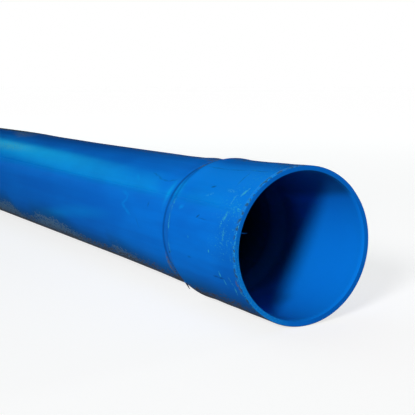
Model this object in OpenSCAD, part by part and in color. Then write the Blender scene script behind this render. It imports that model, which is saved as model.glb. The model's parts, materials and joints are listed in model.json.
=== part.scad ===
// Borehole casing pipe: a thick-walled plastic tube with a plain spigot on one
// end and a belled socket, formed from the same wall, on the other. The pipe
// lies along +X with its axis on the X axis. The spigot's end face is at X = 0,
// and the socket's mouth is at X = overall_len.

/* [Barrel] */
// Length from the spigot's end face to the socket's mouth
overall_len = 3000; // [600:10:6000]
// Outside diameter of the barrel and of the spigot
pipe_od = 165; // [110:1:330]
// Wall of the barrel
pipe_wall = 7.5; // [5:0.1:16]

/* [Socket] */
// Length of the socket at its full width, from the mouth to the shoulder
socket_len = 157; // [60:1:300]
// Length of the shoulder, the cone between the barrel and the socket
shoulder_len = 22; // [10:1:60]
// Wall of the socket
socket_wall = 7.1; // [5:0.1:16]
// Gap all round between a spigot and the socket that it enters
joint_clearance = 0.4; // [0.1:0.05:0.8]

/* [End details] */
// Length of the lead-in chamfer inside the mouth
lead_in_len = 4; // [1:0.5:15]
// Height of the lead-in chamfer, from the socket's bore to its mouth edge
lead_in_rise = 1.3; // [0.5:0.1:3]
// Bevel on the mouth's outer edge
mouth_bevel = 0.5; // [0.2:0.1:1.5]
// Length of the entry chamfer outside the spigot
spigot_chamfer_len = 10; // [2:0.5:20]
// Height of the entry chamfer, from the spigot's end edge to its full radius
spigot_chamfer_rise = 2.7; // [0.5:0.1:4]

/* [Hidden] */

pipe_r = pipe_od / 2;
bore_r = pipe_r - pipe_wall;
socket_bore_r = pipe_r + joint_clearance;
socket_r = socket_bore_r + socket_wall;

// Where the shoulder leaves the barrel and where it reaches the socket,
// on the outside of the wall
shoulder_end = overall_len - socket_len;
shoulder_start = shoulder_end - shoulder_len;

// The inner corners of the shoulder stand this share of the wall nearer the
// mouth than the outer ones, so that the wall keeps its thickness round them
corner_shift = tan(atan2(socket_r - pipe_r, shoulder_len) / 2);

// The wall cut along the axis: each point is [radius, distance from the spigot]
wall_section = [
    // outside, from the spigot to the mouth
    [pipe_r - spigot_chamfer_rise, 0],
    [pipe_r, spigot_chamfer_len],
    [pipe_r, shoulder_start],
    [socket_r, shoulder_end],
    [socket_r, overall_len - mouth_bevel],
    [socket_r - mouth_bevel, overall_len],
    // inside, from the mouth back to the spigot
    [socket_bore_r + lead_in_rise, overall_len],
    [socket_bore_r, overall_len - lead_in_len],
    [socket_bore_r, shoulder_end + socket_wall * corner_shift],
    [bore_r, shoulder_start + pipe_wall * corner_shift],
    [bore_r, 0],
];

// The whole pipe, turned about its axis from the one wall section
module casing_pipe() {
    color("dodgerblue")
        rotate([0, 90, 0])
            rotate_extrude($fn = 128)
                polygon(wall_section);
}

casing_pipe();
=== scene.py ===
"""Blue PVC-U borehole casing pipe: a 3 m tube lying on a pale floor, its belled socket towards the camera.

The pipe's axis is the X axis. A place on it is given by its depth, the distance behind the socket's mouth,
and by its clock angle round the axis, 0 degrees at the top and 90 degrees on the side nearest the camera.
"""

import json
import math

import bmesh
import bpy
from mathutils import Matrix, Vector, noise


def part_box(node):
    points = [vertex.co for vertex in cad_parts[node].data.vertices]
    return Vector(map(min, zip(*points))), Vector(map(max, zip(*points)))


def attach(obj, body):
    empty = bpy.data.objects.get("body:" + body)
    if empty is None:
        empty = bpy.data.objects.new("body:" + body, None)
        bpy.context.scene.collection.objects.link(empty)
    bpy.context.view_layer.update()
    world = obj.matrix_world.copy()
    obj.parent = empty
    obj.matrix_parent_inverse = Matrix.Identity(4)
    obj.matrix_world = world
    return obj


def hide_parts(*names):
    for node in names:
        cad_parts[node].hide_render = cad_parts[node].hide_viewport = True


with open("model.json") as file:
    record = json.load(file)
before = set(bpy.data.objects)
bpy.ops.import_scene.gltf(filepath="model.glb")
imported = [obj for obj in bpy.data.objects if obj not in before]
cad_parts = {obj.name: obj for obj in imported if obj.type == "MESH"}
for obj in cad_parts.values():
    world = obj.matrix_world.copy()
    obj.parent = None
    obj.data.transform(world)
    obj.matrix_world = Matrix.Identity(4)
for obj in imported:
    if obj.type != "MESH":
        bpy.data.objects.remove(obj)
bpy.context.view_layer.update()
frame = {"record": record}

# ---- Sizes, in metres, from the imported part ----

MM = 0.001
MOUNTS = {mount["name"]: mount for mount in frame["record"]["mounts"]}


def mount_size(name, key):
    return MOUNTS[name]["dims"][key] * MM


LOW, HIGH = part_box("casing_pipe")
LENGTH = HIGH.x
SOCKET_R = -LOW.z
PIPE_R = mount_size("spigot", "r_mm")
BORE_R = mount_size("pipe_bore", "r_mm")
SOCKET_BORE_R = mount_size("socket_bore", "r_mm")
SPIGOT_CHAMFER = MOUNTS["spigot"]["pos_m"][0]
SHOULDER_BACK = LENGTH - SPIGOT_CHAMFER - mount_size("spigot", "length_mm")
BORE_BACK = LENGTH - mount_size("pipe_bore", "length_mm")
LEAD_IN = LENGTH - MOUNTS["socket_bore"]["pos_m"][0]
SOCKET_BORE_BACK = LEAD_IN + mount_size("socket_bore", "length_mm")

# Sizes that the frame doesn't give
SOCKET_BACK = 157 * MM
SPIGOT_CHAMFER_RISE = 2.7 * MM
LEAD_IN_RISE = 1.3 * MM
MOUTH_BEVEL = 0.5 * MM

# ---- The wall's section ----

# How far back from each corner of the outline its rounding starts, in millimetres
CORNER_CUTS = {2: 2.5, 3: 5, 4: 0.35, 5: 0.35, 6: 0.4, 7: 1.5, 8: 5, 9: 5}
CORNER_STEPS = 6


def outline():
    """Corners (depth, radius) of the cut wall: outside from the spigot to the mouth, then inside back."""
    return [
        (LENGTH, PIPE_R - SPIGOT_CHAMFER_RISE),
        (LENGTH - SPIGOT_CHAMFER, PIPE_R),
        (SHOULDER_BACK, PIPE_R),
        (SOCKET_BACK, SOCKET_R),
        (MOUTH_BEVEL, SOCKET_R),
        (0, SOCKET_R - MOUTH_BEVEL),
        (0, SOCKET_BORE_R + LEAD_IN_RISE),
        (LEAD_IN, SOCKET_BORE_R),
        (SOCKET_BORE_BACK, SOCKET_BORE_R),
        (BORE_BACK, BORE_R),
        (LENGTH, BORE_R),
    ]


def rounded(corners):
    """The outline with its named corners turned into short curves."""
    result = []
    for i, corner in enumerate(corners):
        if i not in CORNER_CUTS:
            result.append(corner)
            continue
        here = Vector(corner)
        cut = CORNER_CUTS[i] * MM
        before = here + (Vector(corners[i - 1]) - here).normalized() * cut
        after = here + (Vector(corners[i + 1]) - here).normalized() * cut
        for step in range(CORNER_STEPS + 1):
            t = step / CORNER_STEPS
            result.append(tuple(before * (1 - t) ** 2 + here * 2 * t * (1 - t) + after * t ** 2))
    return result


def longest_piece(depth):
    """How long a piece of the section may be: shortest at the mouth's edge and by the crease."""
    if depth < 0.01 or 0.17 < depth < 0.2:
        return 3 * MM
    if depth < 0.17:
        return 5 * MM
    if depth < 0.42:
        return 12 * MM
    return 100 * MM


def pieces(start, end):
    """The ends of the pieces of a straight stretch, halved until each is short enough."""
    if (end - start).length <= longest_piece(min(start.x, end.x)):
        return [tuple(end)]
    middle = (start + end) / 2
    return pieces(start, middle) + pieces(middle, end)


def refined(points):
    """The section with its long stretches cut into pieces."""
    result = [points[0]]
    for start, end in zip(points, points[1:]):
        result += pieces(Vector(start), Vector(end))
    return result


# ---- The real pipe's departures from a true tube ----

SEGMENTS = 360

# The hot-formed bell, in millimetres at a depth in millimetres: its wall flares at the mouth, draws in
# behind it, and swells where the bell runs into the barrel, with a slight bead just behind the shoulder. Its
# middle strays down and to the far side.
GROWTH = (
    (0, 0.75),
    (40, 0),
    (90, -0.7),
    (130, -1.1),
    (158, -0.3),
    (180, -0.2),
    (187, 0.7),
    (199, 0.4),
    (222, 1.3),
    (300, 0.4),
    (420, 0),
)
DROP = ((0, -0.4), (50, 0.2), (110, 0.95), (195, 0.95), (250, 0.4), (420, 0))
SWAY = ((0, 0.65), (50, 0))

# The bore is a little off centre, so the wall is thinnest towards the camera's upper left. Points of the
# section nearer to the axis than the wall's middle, given as a radius in millimetres at a depth in
# millimetres, belong to the bore.
OFF_CENTRE = Vector((0, -0.5, 0.3)) * MM
WALL_MIDDLE = (
    (SOCKET_BACK / MM, (SOCKET_R + SOCKET_BORE_R) / 2 / MM),
    (SHOULDER_BACK / MM, (PIPE_R + BORE_R) / 2 / MM),
)

# How thick, in millimetres, earth lies along the top at a depth in millimetres: it fills the crease, and
# cakes the barrel farther back. It is thickest at one clock angle, and thins out over the spread to either
# side.
EARTH_ON_CROWN = (
    (176, 0),
    (188, 2.6),
    (206, 2.4),
    (240, 0),
    (600, 0),
    (760, 0.9),
    (940, 3.1),
    (1100, 2.9),
    (1400, 0),
)
EARTH_CLOCK = math.radians(-10)
EARTH_SPREAD = math.radians(36)

# Knocks that have flattened the mouth's outer edge
NICK_DEPTH = 2.5 * MM
NICK_HEIGHT = 0.7 * MM
NICK_PITCH = 45

# Slivers of plastic: (depth in mm, clock angle in degrees, radius in mm) of the root and of the tip, then
# the thickness in mm. One hangs from the underside just behind the shoulder, and a fine one reaches into
# the mouth.
SLIVERS = (
    (((200, 148, 82), (185, 150.5, 90)), 3.6),
    (((1, 75, 86), (1, 74, 76.5)), 0.6),
)


def along(depth, knots):
    """The value that the knots give at a depth, eased from each knot to the next, in metres."""
    place = depth / MM
    for (d0, v0), (d1, v1) in zip(knots, knots[1:]):
        if place < d1:
            t = max(0, (place - d0) / (d1 - d0))
            return (v0 + (v1 - v0) * t * t * (3 - 2 * t)) * MM
    return knots[-1][1] * MM


def nick(depth, radius, clock):
    """How far a knock has pushed in the mouth's outer edge."""
    if depth > NICK_DEPTH or radius < SOCKET_R - 2 * MOUTH_BEVEL:
        return 0
    where = Vector((math.sin(clock), math.cos(clock), 0)) * SOCKET_R * NICK_PITCH
    hit = max(0, noise.noise(where) - 0.15)
    return hit * NICK_HEIGHT * (1 - depth / NICK_DEPTH)


def earth_on_crown(depth, clock):
    """How far the earth along the top stands out of the pipe's outside."""
    side = abs(math.remainder(clock - EARTH_CLOCK, 2 * math.pi))
    t = max(0, 1 - side / EARTH_SPREAD)
    return along(depth, EARTH_ON_CROWN) * t * t * (3 - 2 * t)


def around(depth, radius, clock):
    """The point at a depth behind the mouth, a radius from the axis and a clock angle."""
    return Vector((LENGTH - depth, -radius * math.sin(clock), radius * math.cos(clock)))


def formed(depth, radius, clock):
    """Where a point of the true tube lies on the real one."""
    shift = Vector((0, along(depth, SWAY), -along(depth, DROP)))
    growth = along(depth, GROWTH)
    if radius < along(depth, WALL_MIDDLE):
        shift += OFF_CENTRE
    else:
        growth += earth_on_crown(depth, clock) - nick(depth, radius, clock)
    return around(depth, radius + growth, clock) + shift


def add_sliver(mesh, places, thickness):
    """A thin closed cone whose wide end is sunk in the wall."""
    root, tip = [around(depth * MM, radius * MM, math.radians(clock)) for depth, clock, radius in places]
    run = tip - root
    turn = run.to_track_quat("Z", "Y").to_matrix().to_4x4()
    bmesh.ops.create_cone(
        mesh,
        cap_ends=True,
        segments=8,
        radius1=thickness * MM / 2,
        radius2=thickness * MM / 12,
        depth=run.length,
        matrix=Matrix.Translation((root + tip) / 2) @ turn,
    )


def build_pipe():
    section = refined(rounded(outline()))
    mesh = bmesh.new()
    rings = []
    for depth, radius in section:
        clocks = (2 * math.pi * k / SEGMENTS for k in range(SEGMENTS))
        rings.append([mesh.verts.new(formed(depth, radius, clock)) for clock in clocks])
    for ring, following in zip(rings, rings[1:] + rings[:1]):
        for k in range(SEGMENTS):
            j = (k + 1) % SEGMENTS
            mesh.faces.new((ring[k], following[k], following[j], ring[j]))
    for places, thickness in SLIVERS:
        add_sliver(mesh, places, thickness)
    bmesh.ops.recalc_face_normals(mesh, faces=mesh.faces)
    data = bpy.data.meshes.new("pipe_wall")
    mesh.to_mesh(data)
    mesh.free()
    data.shade_smooth()
    data.set_sharp_from_angle(angle=math.radians(40))
    pipe = bpy.data.objects.new("pipe_wall", data)
    bpy.context.scene.collection.objects.link(pipe)
    return pipe


# ---- Shader nodes ----


class Graph:
    """Adds and joins the nodes of one material or world."""

    def __init__(self, tree):
        self.tree = tree

    def add(self, kind, inputs, output=0, **settings):
        node = self.tree.nodes.new(kind)
        for name, value in settings.items():
            setattr(node, name, value)
        for name, value in inputs.items():
            if isinstance(value, bpy.types.NodeSocket):
                self.tree.links.new(value, node.inputs[name])
            else:
                node.inputs[name].default_value = value
        return node.outputs[output]

    def math(self, operation, first, second=0.0):
        return self.add("ShaderNodeMath", {0: first, 1: second}, operation=operation)

    def vector_math(self, operation, first, second, output="Vector"):
        return self.add("ShaderNodeVectorMath", {0: first, 1: second}, output, operation=operation)

    def product(self, *values):
        total = values[0]
        for value in values[1:]:
            total = self.math("MULTIPLY", total, value)
        return total

    def largest(self, values):
        total = values[0]
        for value in values[1:]:
            total = self.math("MAXIMUM", total, value)
        return total

    def ramp(self, value, start, end, low=0.0, high=1.0):
        """Eases from low to high as the value goes from start to end."""
        inputs = {"Value": value, "From Min": start, "From Max": end, "To Min": low, "To Max": high}
        return self.add("ShaderNodeMapRange", inputs, interpolation_type="SMOOTHSTEP")

    def profile(self, value, knots):
        """The number that the knots give for the value, eased from each knot to the next."""
        total = knots[0][1]
        for (start, low), (end, high) in zip(knots, knots[1:]):
            total = self.math("ADD", total, self.ramp(value, start, end, 0, high - low))
        return total

    def noise(self, vector, scale, detail, output=0):
        return self.add("ShaderNodeTexNoise", {"Vector": vector, "Scale": scale, "Detail": detail}, output)

    def over(self, factor, below, above):
        """The colour above laid over the colour below."""
        return self.add("ShaderNodeMix", {0: factor, 6: below, 7: above}, 2, data_type="RGBA")


def new_material(name, kind=Graph):
    """A material, its graph and its surface."""
    material = bpy.data.materials.new(name)
    material.use_nodes = True
    return material, kind(material.node_tree), material.node_tree.nodes["Principled BSDF"]


# ---- The pipe's plastic ----

# Colours
DEEP_BLUE = (0.0, 0.14, 0.62, 1)
CLEAR_BLUE = (0.0, 0.185, 0.74, 1)
BORE_BLUE = (0.0, 0.175, 0.68, 1)
# Painted shade deep in the bore
DEEP_BORE_SHADE = (0.0, 0.045, 0.06, 1)
CUT_BLUE = (0.0, 0.15, 0.65, 1)
PALE_SCUFF = (0.04, 0.42, 0.62, 1)
DARK_MARK = (0.0, 0.045, 0.17, 1)
# A dull blue: partly painted shade on the barrel's top and lower side, and also dulled places
DULL_FILM_AND_SHADE = (0.0, 0.045, 0.30, 1)
# Partly painted shade: a dark film low on the pipe
LOW_FILM_AND_SHADE = (0.0, 0.065, 0.16, 1)
# A clearer blue for rubbed places and the low streak, and for painted highlights
CLEAR_STREAK_AND_HIGHLIGHT = (0.0, 0.25, 0.76, 1)
# Painted light on the bell's upper sides
BELL_LIGHT_BLUE = (0.0, 0.24, 0.86, 1)
DUST = (0.10, 0.20, 0.33, 1)
EARTH = (0.048, 0.052, 0.069, 1)
BROWN = (0.12, 0.115, 0.11, 1)
CRUMBS = (0.05, 0.14, 0.26, 1)
# Painted shade for the crease behind the shoulder
CREASE_SHADE_BLUE = (0.0, 0.07, 0.32, 1)
EDGE_SOIL = (0.025, 0.075, 0.13, 1)
# Painted shade on the bore's crown and bottom, where the light does not reach
BORE_SHADE_BLUE = (0.0, 0.07, 0.25, 1)

# Marks on the outside. Each is a line of (depth in mm, clock angle in degrees) points, then its width
# in mm and its strength.
PALE_MARKS = (
    (((32, 64), (33, 68)), 5, 1.0),
    (((36, 67), (37, 74)), 4, 0.7),
    (((28, 75), (27, 83)), 4, 0.6),
    (((14, 59), (10, 60)), 4, 0.8),
    (((23, 59), (19, 61)), 3, 0.5),
    (((22, 48), (18, 43)), 5, 0.9),
    (((32, 50), (33, 57)), 3, 0.4),
    (((56, 46), (40, 47)), 6, 0.2),
    (((94, 54), (80, 51)), 5, 0.2),
    (((57, 93), (57, 94)), 2.5, 1.0),
    (((107, 87), (107, 88)), 2.5, 0.7),
    (((40, 108), (39, 110)), 4, 0.9),
    (((34, 113), (33, 118)), 4, 0.6),
    (((21, 110), (17, 114)), 4, 0.6),
    (((15, 117), (18, 123)), 4, 0.7),
    (((6, 119), (5, 121)), 4, 0.7),
    (((158, 62), (158, 69)), 7, 0.6),
    (((159, 76), (156, 85)), 6, 0.9),
    (((156, 96), (155, 104)), 4, 0.5),
)
DARK_MARKS = (
    (((232, 70), (232, 72)), 5, 0.3),
    (((262, 85), (250, 94)), 3, 0.15),
    (((94, 71.5), (90, 70)), 3, 0.7),
    (((90, 72), (70, 72)), 2, 0.3),
    (((94, 46), (88, 45)), 4, 0.6),
    (((56, 112), (44, 112), (34, 112)), 3, 0.5),
    (((111, 103), (104, 103)), 3, 0.3),
    (((168, 107), (153, 103)), 3, 0.5),
    (((149, 25), (100, 25), (60, 23), (20, 22)), 3, 0.25),
    (((47, 40), (49, 27)), 4, 0.25),
    (((266, 40), (246, 43), (228, 46), (212, 46), (198, 43)), 4, 0.25),
)
# Places painted a clearer blue: a scratch and spots near the bell rubbed clear, the lighter streak low on
# the barrel, and a painted highlight on both sides of the crease
CLEAR_MARKS = (
    (((316, 65), (300, 67), (299, 71), (309, 76), (298, 80), (282, 84)), 7, 0.5),
    (((139, 67), (135, 66)), 7, 0.7),
    (((303, 46), (292, 50)), 8, 0.3),
    (((540, 101), (370, 91)), 28, 0.35),
    (((660, 115), (450, 96)), 26, 0.4),
    # Painted highlights on both sides of the crease
    (((193, 47), (193, 68)), 11, 0.7),
    (((172, 44), (172, 70)), 9, 0.8),
)
# Smears of dust: near the top, then a thin one on the side, and one in the crease
GREY_MARKS = (
    (((960, 0), (880, 6)), 52, 1.0),
    (((905, 20), (880, 8)), 14, 0.6),
    (((260, 3), (195, 6)), 8, 0.6),
    (((1000, 40), (760, 39)), 30, 0.35),
    (((189, 117), (194, 136)), 8, 0.9),
)
# Brown earth stuck to the mouth's edge and behind the shoulder
BROWN_MARKS = (
    (((6, 112), (4, 117)), 6, 0.8),
    (((3, 139), (2, 148)), 5, 0.8),
    (((5, 17), (3, 21)), 4, 0.7),
    (((184, 111), (188, 122), (192, 134)), 7, 0.9),
    (((208, -26), (192, 2)), 20, 0.9),
)

# Where the dust on the underside begins: (depth in mm, clock angle in degrees)
DUST_LINE = (
    (0, 142),
    (100, 138),
    (200, 138),
    (260, 136),
    (350, 129),
    (365, 129),
    (385, 135),
    (480, 134),
    (560, 124),
    (620, 120),
    (680, 122),
    (730, 132),
    (780, 133),
    (830, 121),
    (1000, 118),
)


# A mark's ellipse runs past the ends of its line, and its middle is solid
MARK_OVERRUN = 1.25
MARK_BOOST = 1.6


class PipeSkin(Graph):
    """The pipe's material: a point's place on the pipe, the noises that it shares, and the colour so far."""

    def __init__(self, tree):
        super().__init__(tree)
        coordinates = self.add("ShaderNodeTexCoord", {}).node.outputs
        self.point = coordinates["Object"]
        axes = self.add("ShaderNodeSeparateXYZ", {"Vector": self.point}).node.outputs
        self.depth = self.math("SUBTRACT", LENGTH, axes["X"])
        self.clock = self.math("ARCTAN2", self.math("MULTIPLY", axes["Y"], -1.0), axes["Z"])
        # The clock angle's size, the same on the near side and on the far side
        self.side_clock = self.math("ARCTAN2", self.math("ABSOLUTE", axes["Y"]), axes["Z"])
        self.from_axis = self.add("ShaderNodeCombineXYZ", {"Y": axes["Y"], "Z": axes["Z"]})
        outward = self.vector_math("NORMALIZE", self.from_axis, (0, 0, 0))
        facing = self.vector_math("DOT_PRODUCT", coordinates["Normal"], outward, "Value")
        self.outside = self.ramp(facing, 0.3, 0.6)
        self.bore = self.ramp(facing, -0.3, -0.6)
        self.place = self.outside_place()

        self.fine = self.drawn_out(0.45)
        self.draw_lines = self.noise(self.drawn_out(0.03), 130, 3)
        self.clouds = self.noise(self.drawn_out(0.4), 14, 4)
        self.lumps = self.noise(self.drawn_out(0.3), 60, 3)
        self.grit = self.noise(self.fine, 620, 2)
        self.broken = self.ramp(self.grit, 0.42, 0.52)
        self.colour = CUT_BLUE

    def drawn_out(self, share):
        """Points for a noise whose grains are drawn out along the pipe, longer as the share is smaller."""
        return self.vector_math("MULTIPLY", self.point, (share, 1, 1))

    def outside_place(self):
        """(depth, distance round the outside) of a point, shaken so that no mark runs ruler-straight."""
        round_pipe = self.math("MULTIPLY", self.clock, SOCKET_R)
        flat = self.add("ShaderNodeCombineXYZ", {"X": self.depth, "Y": round_pipe})
        shake = self.vector_math("SUBTRACT", self.noise(flat, 140, 3, "Color"), (0.5, 0.5, 0.5))
        moved = self.vector_math("MULTIPLY_ADD", shake, (3 * MM, 3 * MM, 0))
        self.tree.links.new(flat, moved.node.inputs[2])
        return moved

    def turn(self, angle, start, end, low=0.0, high=1.0):
        """A ramp over an angle, with its start and end in degrees."""
        return self.ramp(angle, math.radians(start), math.radians(end), low, high)

    def marks(self, lines):
        """How strongly the marks cover a place: each line's legs are thin ellipses that fade outwards."""
        legs = []
        for points, width, strength in lines:
            for (depth0, clock0), (depth1, clock1) in zip(points, points[1:]):
                start = Vector((depth0 * MM, math.radians(clock0) * SOCKET_R))
                end = Vector((depth1 * MM, math.radians(clock1) * SOCKET_R))
                middle = (start + end) / 2
                run = end - start
                half_width = width * MM / 2
                half_length = run.length / 2 + half_width
                inputs = {
                    "Vector": self.place,
                    "Location": (middle.x, middle.y, 0),
                    "Rotation": (0, 0, math.atan2(run.y, run.x)),
                    "Scale": (half_length * MARK_OVERRUN, half_width, 1),
                }
                local = self.add("ShaderNodeMapping", inputs, vector_type="TEXTURE")
                fade = self.add("ShaderNodeTexGradient", {"Vector": local}, 1, gradient_type="SPHERICAL")
                legs.append(self.math("MULTIPLY", fade, strength * MARK_BOOST))
        return self.math("MINIMUM", self.largest(legs), 1.0)

    def lay(self, colour, *factors):
        """Lays a colour over the colour so far, as strongly as the product of the factors."""
        self.colour = self.over(self.product(*factors), self.colour, colour)


def plain_outside(skin):
    """Blue with faint lengthwise draw lines and cloudy patches."""
    tone = skin.math("ADD", skin.product(skin.draw_lines, 0.25), skin.product(skin.clouds, 0.75))
    skin.lay(skin.over(skin.ramp(tone, 0.35, 0.65), DEEP_BLUE, CLEAR_BLUE), skin.outside)


def painted_bore_shade(skin):
    """Painted shade in the bore: a darker blue covers its crown near the mouth, along its bottom, and all
    round deeper in, where the light does not reach. Away from the ends, the bore is painted darker still, as
    deep shade.
    """
    widening = skin.math("MULTIPLY", skin.depth, math.radians(100))
    from_crown = skin.math("SUBTRACT", skin.math("ABSOLUTE", skin.clock), widening)
    crown = skin.turn(from_crown, 54, 42)
    deeper = skin.product(skin.ramp(skin.depth, 0.11, 0.15), 0.8)
    at_bottom = skin.turn(skin.side_clock, 145, 162)
    bottom_shade = skin.product(at_bottom, skin.ramp(skin.depth, 0.055, 0.085), 0.5)
    bore_shade_cover = skin.product(skin.largest([crown, deeper, bottom_shade]), 0.8)
    towards_spigot = skin.ramp(skin.depth, LENGTH - 0.05, LENGTH - 0.35)
    dark = skin.product(skin.ramp(skin.depth, 0.1, 0.28), towards_spigot)
    # Painted shade: darker blue over the parts of the bore that the light does not reach
    skin.lay(skin.over(dark, skin.over(bore_shade_cover, BORE_BLUE, BORE_SHADE_BLUE), DEEP_BORE_SHADE), skin.bore)


def painted_light_on_bell(skin):
    """The bell is painted lighter on both sides of its crown, as painted light from above."""
    beside_crown = skin.product(skin.turn(skin.side_clock, 60, 30), skin.turn(skin.side_clock, 12, 24))
    # Painted light: a lighter blue beside the bell's crown
    skin.lay(BELL_LIGHT_BLUE, beside_crown, skin.ramp(skin.depth, 0.17, 0.15), skin.outside, 0.8)


def dull_film_and_shade(skin):
    """A dull film on the barrel's top and lower side, denser away from the bell, partly dirt and partly
    painted shade where less light falls; then the clearer places.
    """
    on_top = skin.turn(skin.side_clock, 28, 6, 0, 0.5)
    on_side = skin.product(skin.turn(skin.side_clock, 60, 80), 0.3)
    behind = skin.ramp(skin.depth, 0.2, 0.6)
    patchy = skin.ramp(skin.clouds, 0.25, 0.55, 0.5, 1.0)
    # Partly painted shade: darker top and lower side, more so away from the bell
    skin.lay(DULL_FILM_AND_SHADE, skin.math("MAXIMUM", on_top, on_side), behind, patchy, skin.outside)
    # Clearer places, some of them painted highlights
    skin.lay(CLEAR_STREAK_AND_HIGHLIGHT, skin.marks(CLEAR_MARKS), skin.outside)


def scuffs(skin):
    """Scuffs and scratches, broken up by fine grit. Returns the pale ones."""
    near_mouth = skin.product(skin.ramp(skin.depth, 0.08, 0.02), skin.ramp(skin.clouds, 0.45, 0.65))
    speckle = skin.product(skin.ramp(skin.grit, 0.6, 0.68), near_mouth, skin.outside, 0.6)
    pale = skin.product(skin.marks(PALE_MARKS), skin.broken, skin.outside)
    skin.lay(DARK_MARK, skin.marks(DARK_MARKS), skin.outside)
    skin.lay(PALE_SCUFF, skin.math("MAXIMUM", pale, speckle))
    return pale


def worn_mouth(skin):
    """Handling has dulled the bell near its mouth, whose outer edge is rubbed pale with earth in its nicks.
    Returns the edge.
    """
    handled = skin.product(skin.turn(skin.side_clock, 50, 75), skin.ramp(skin.depth, 60 * MM, 20 * MM))
    skin.lay(DULL_FILM_AND_SHADE, handled, skin.outside, 0.22)
    edge = skin.product(skin.ramp(skin.depth, 7 * MM, 1.5 * MM), skin.outside)
    skin.lay(PALE_SCUFF, edge, skin.ramp(skin.noise(skin.point, 520, 3), 0.53, 0.59), 0.6)
    skin.lay(EDGE_SOIL, edge, skin.ramp(skin.noise(skin.point, 210, 5), 0.48, 0.58), 0.85)
    return edge


def rubbed_cut_face(skin):
    """The cut face is rubbed low on the near side, and a little dull low on the far side."""
    cut = skin.math("SUBTRACT", 1.0, skin.math("MAXIMUM", skin.outside, skin.bore))
    low_near = skin.product(skin.turn(skin.clock, 57, 115), skin.turn(skin.clock, 172, 155))
    low_far = skin.product(skin.turn(skin.clock, -97, -115), skin.turn(skin.clock, -178, -166))
    skin.lay(DULL_FILM_AND_SHADE, cut, low_far, 0.2)
    skin.lay(CLEAR_STREAK_AND_HIGHLIGHT, cut, low_near, 0.4)
    skin.lay(PALE_SCUFF, cut, low_near, skin.ramp(skin.noise(skin.point, 620, 3), 0.52, 0.6, 0, 0.35))


def dirty_and_shaded_underside(skin):
    """A dark film low down, partly dirt and partly painted shade under the pipe, then dust with a ragged,
    speckled edge, then earth. Returns the dust.
    """
    knots = [(place_mm * MM, math.radians(angle)) for place_mm, angle in DUST_LINE]
    below = skin.math("SUBTRACT", skin.side_clock, skin.profile(skin.depth, knots))
    uneven = skin.ramp(skin.lumps, 0.25, 0.75, math.radians(-4), math.radians(4))
    scatter = skin.ramp(skin.noise(skin.fine, 360, 3), 0.3, 0.7, math.radians(-9), math.radians(9))
    ragged = skin.math("ADD", uneven, scatter)
    dusty = skin.product(skin.turn(skin.math("ADD", below, ragged), -1, 1), skin.outside)
    earthy = skin.turn(skin.math("ADD", skin.side_clock, ragged), 134, 141)
    # Partly painted shade under the pipe
    skin.lay(LOW_FILM_AND_SHADE, skin.turn(below, -27, 3), skin.outside, 0.68)
    skin.lay(DUST, dusty, 0.85)
    skin.lay(EARTH, earthy, dusty, 0.9)
    return dusty


def standing_earth(skin):
    """Behind the shoulder, what stands well out of the barrel has the colour of earth: the caked top, and
    the hanging sliver, which is as dirty.
    """
    reach = skin.vector_math("LENGTH", skin.from_axis, (0, 0, 0), "Value")
    height = skin.math("SUBTRACT", reach, PIPE_R)
    rough = skin.product(skin.math("ADD", skin.lumps, skin.grit), 1.2 * MM)
    standing = skin.ramp(skin.math("ADD", height, rough), 3.1 * MM, 3.7 * MM)
    skin.lay(EARTH, standing, skin.ramp(skin.depth, 180 * MM, 182 * MM))


def smears(skin):
    """Dust and brown earth in the places listed."""
    skin.lay(DUST, skin.marks(GREY_MARKS), skin.broken, skin.outside)
    skin.lay(BROWN, skin.marks(BROWN_MARKS), skin.broken, skin.outside)


def crease_shade_and_crumbs(skin):
    """Painted shade: the crease behind the shoulder is painted as a dark line, with crumbs of earth in it
    high up and low down. Other crumbs lie along the very top, fewer towards the spigot.
    """
    crumbs = skin.product(skin.ramp(skin.grit, 0.48, 0.54), skin.outside)
    behind_shoulder = skin.ramp(skin.depth, 179 * MM, 182 * MM)
    crease = skin.product(behind_shoulder, skin.ramp(skin.depth, 186 * MM, 183 * MM))
    filled = skin.math("MAXIMUM", skin.turn(skin.side_clock, 26, 20), skin.turn(skin.side_clock, 112, 120))
    # Painted shade along the crease
    skin.lay(CREASE_SHADE_BLUE, crease, skin.outside, 0.85)
    skin.lay(CRUMBS, crease, filled, crumbs)
    wavy = skin.math("ADD", skin.side_clock, skin.product(skin.lumps, math.radians(11.5)))
    skin.lay(CRUMBS, skin.turn(wavy, 13.2, 9.7), skin.ramp(skin.depth, 1.9, 1.1), crumbs, 0.9)


def blue_plastic():
    material, skin, surface = new_material("blue_pvc", PipeSkin)
    plain_outside(skin)
    painted_bore_shade(skin)
    painted_light_on_bell(skin)
    dull_film_and_shade(skin)
    pale = scuffs(skin)
    edge = worn_mouth(skin)
    rubbed_cut_face(skin)
    dusty = dirty_and_shaded_underside(skin)
    standing_earth(skin)
    smears(skin)
    crease_shade_and_crumbs(skin)
    skin.tree.links.new(skin.colour, surface.inputs["Base Color"])

    # Satin where it is clean, and dull on the cut face, in the bore, where it is scuffed and low down
    low = skin.turn(skin.side_clock, 54, 76)
    worn = skin.largest([low, dusty, pale, edge, skin.math("SUBTRACT", 1.0, skin.outside)])
    roughness = skin.ramp(worn, 0, 1, 0.24, 0.9)
    skin.tree.links.new(roughness, surface.inputs["Roughness"])
    surface.inputs["Specular IOR Level"].default_value = 0.07

    # Draw lines, grain and dust stand very slightly out of the surface
    grain = skin.noise(skin.point, 320, 4)
    relief = skin.math("ADD", skin.product(skin.draw_lines, 0.3), skin.product(grain, 0.25))
    relief = skin.math("ADD", relief, skin.product(dusty, grain))
    bump = skin.add("ShaderNodeBump", {"Height": relief, "Strength": 0.25, "Distance": 0.5 * MM}, "Normal")
    skin.tree.links.new(bump, surface.inputs["Normal"])
    return material


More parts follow.
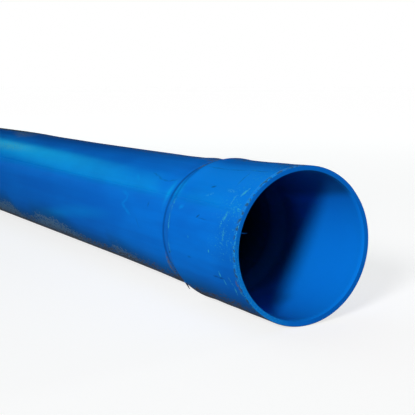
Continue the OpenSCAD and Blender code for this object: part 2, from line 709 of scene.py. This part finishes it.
pipe = build_pipe()
pipe.data.materials.append(blue_plastic())
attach(pipe, "root")
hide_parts("casing_pipe")

# ---- Camera ----


def direction(azimuth, elevation):
    """The unit vector at those angles in degrees, the azimuth from +X towards +Y."""
    azimuth, elevation = math.radians(azimuth), math.radians(elevation)
    level = math.cos(elevation)
    return Vector((math.cos(azimuth) * level, math.sin(azimuth) * level, math.sin(elevation)))


MOUTH = Vector((LENGTH, 0, 0))
CAMERA_BACK = direction(-29.5, 7.57)
CAMERA_FROM_MOUTH = Vector((0.8454, -0.6014, 0.1816))

camera_data = bpy.data.cameras.new("camera")
camera_data.sensor_width = 36
camera_data.lens = 81.73
camera = bpy.data.objects.new("camera", camera_data)
camera.rotation_mode = "QUATERNION"
camera.rotation_quaternion = (-CAMERA_BACK).to_track_quat("-Z", "Y")
camera.location = MOUTH + CAMERA_FROM_MOUTH
bpy.context.scene.collection.objects.link(camera)
bpy.context.scene.camera = camera

# ---- Lights ----
# The level of a sun or a spot is the brightness that it gives a white face turned to it, where 1 is white. A
# softbox's level is its own brightness. The size of a sun or a spot is the angle in degrees that it fills.


def lamp(name, kind, towards, place=MOUTH):
    """A lamp that shines on its place from the direction given."""
    data = bpy.data.lights.new(name, kind)
    item = bpy.data.objects.new(name, data)
    item.rotation_mode = "QUATERNION"
    item.rotation_quaternion = towards.to_track_quat("Z", "Y")
    item.location = place
    bpy.context.scene.collection.objects.link(item)
    return item


def sun(name, towards, level, size):
    item = lamp(name, "SUN", towards)
    item.data.energy = level * math.pi
    item.data.angle = math.radians(size)


def spot(name, towards, level, size, aim, distance, spread):
    """A round lamp at a distance, whose pool of light fades out over the whole of its spread."""
    item = lamp(name, "SPOT", towards, aim + towards * distance)
    item.data.energy = level * (2 * math.pi * distance) ** 2
    item.data.shadow_soft_size = distance * math.tan(math.radians(size / 2))
    item.data.spot_size = math.radians(spread)
    item.data.spot_blend = 1


def softbox(name, towards, level, width, height, aim, distance, colour):
    item = lamp(name, "AREA", towards, aim + towards * distance)
    item.data.shape = "RECTANGLE"
    item.data.size = width
    item.data.size_y = height
    item.data.color = colour
    item.data.energy = level * width * height * math.pi
    item.visible_camera = False


KEY = direction(307, 22)
KEY_SIZE = 13
sun("key", KEY, level=0.43, size=KEY_SIZE)
spot("mouth_key", KEY, level=0.77, size=KEY_SIZE, aim=MOUTH, distance=6, spread=16)
sun("top_fill", direction(200, 50), level=0.15, size=60)
sun("far_side_fill", direction(140, 14), level=0.2, size=60)
sun("back_fill", direction(100, 4), level=0.45, size=8)
sun("bore_fill", direction(-25, 25), level=0.035, size=20)
softbox(
    "sheen",
    direction(194, 19),
    level=2.35,
    width=3.2,
    height=0.85,
    aim=MOUTH,
    distance=5.5,
    colour=(0.02, 0.95, 1.0),
)

# ---- Background: a white studio with a pale floor ----

AMBIENT = 0.015
FLOOR_COLOUR = (0.4, 0.4, 0.4, 1)
FLOOR_SIZE = (60, 60)
FLAG_SIZE = (26, 70)
FLAG_PLACE = (-15, 0, 12.9)


def sees_background(graph):
    """1 on rays from the camera, and on those that gloss or glass sends on, so that both show the white."""
    path = graph.add("ShaderNodeLightPath", {}).node.outputs
    return graph.largest([path["Is Camera Ray"], path["Is Glossy Ray"], path["Is Transmission Ray"]])


def white_world():
    world = bpy.data.worlds.new("studio")
    world.use_nodes = True
    graph = Graph(world.node_tree)
    background = world.node_tree.nodes["Background"]
    background.inputs["Color"].default_value = (1, 1, 1, 1)
    strength = graph.ramp(sees_background(graph), 0, 1, AMBIENT, 1)
    graph.tree.links.new(strength, background.inputs["Strength"])
    return world


def floor_material():
    """A pale floor whose own glow, seen but not shed, brings it near to the background's white."""
    material, graph, surface = new_material("pale_floor")
    surface.inputs["Base Color"].default_value = FLOOR_COLOUR
    surface.inputs["Roughness"].default_value = 0.9
    surface.inputs["Specular IOR Level"].default_value = 0
    surface.inputs["Emission Color"].default_value = (1, 1, 1, 1)
    point = graph.add("ShaderNodeNewGeometry", {}, "Position")
    away = graph.vector_math("DISTANCE", point, tuple(MOUTH), "Value")
    glow = graph.ramp(away, 0.5, 4, 0.72, 0.84)
    seen = graph.product(glow, sees_background(graph))
    graph.tree.links.new(seen, surface.inputs["Emission Strength"])
    return material


def stage_plane(name, size, place, tilt, material):
    mesh = bmesh.new()
    bmesh.ops.create_grid(mesh, x_segments=1, y_segments=1, size=0.5)
    data = bpy.data.meshes.new(name)
    mesh.to_mesh(data)
    mesh.free()
    item = bpy.data.objects.new(name, data)
    item.scale = (size[0], size[1], 1)
    item.rotation_euler.y = tilt
    item.location = place
    data.materials.append(material)
    bpy.context.scene.collection.objects.link(item)
    return item


def dark_flag():
    """A black card past the far end, which only the plastic's gloss shows, in place of the white."""
    material, _, surface = new_material("black_card")
    surface.inputs["Base Color"].default_value = (0.01, 0.01, 0.01, 1)
    surface.inputs["Roughness"].default_value = 1
    surface.inputs["Specular IOR Level"].default_value = 0
    flag = stage_plane("dark_flag", FLAG_SIZE, FLAG_PLACE, math.radians(90), material)
    flag.visible_camera = False
    flag.visible_diffuse = False
    flag.visible_shadow = False
    flag.visible_transmission = False


bpy.context.scene.world = white_world()
# The pipe lies on its bell and its spigot, within half a millimetre, so the floor rises towards the spigot
mouth_r = SOCKET_R + along(0, GROWTH)
floor_slope = math.atan2(mouth_r - PIPE_R, LENGTH)
stage_plane("floor", FLOOR_SIZE, MOUTH - Vector((0, 0, mouth_r)), floor_slope, floor_material())
dark_flag()

bpy.context.scene.view_settings.view_transform = "Standard"
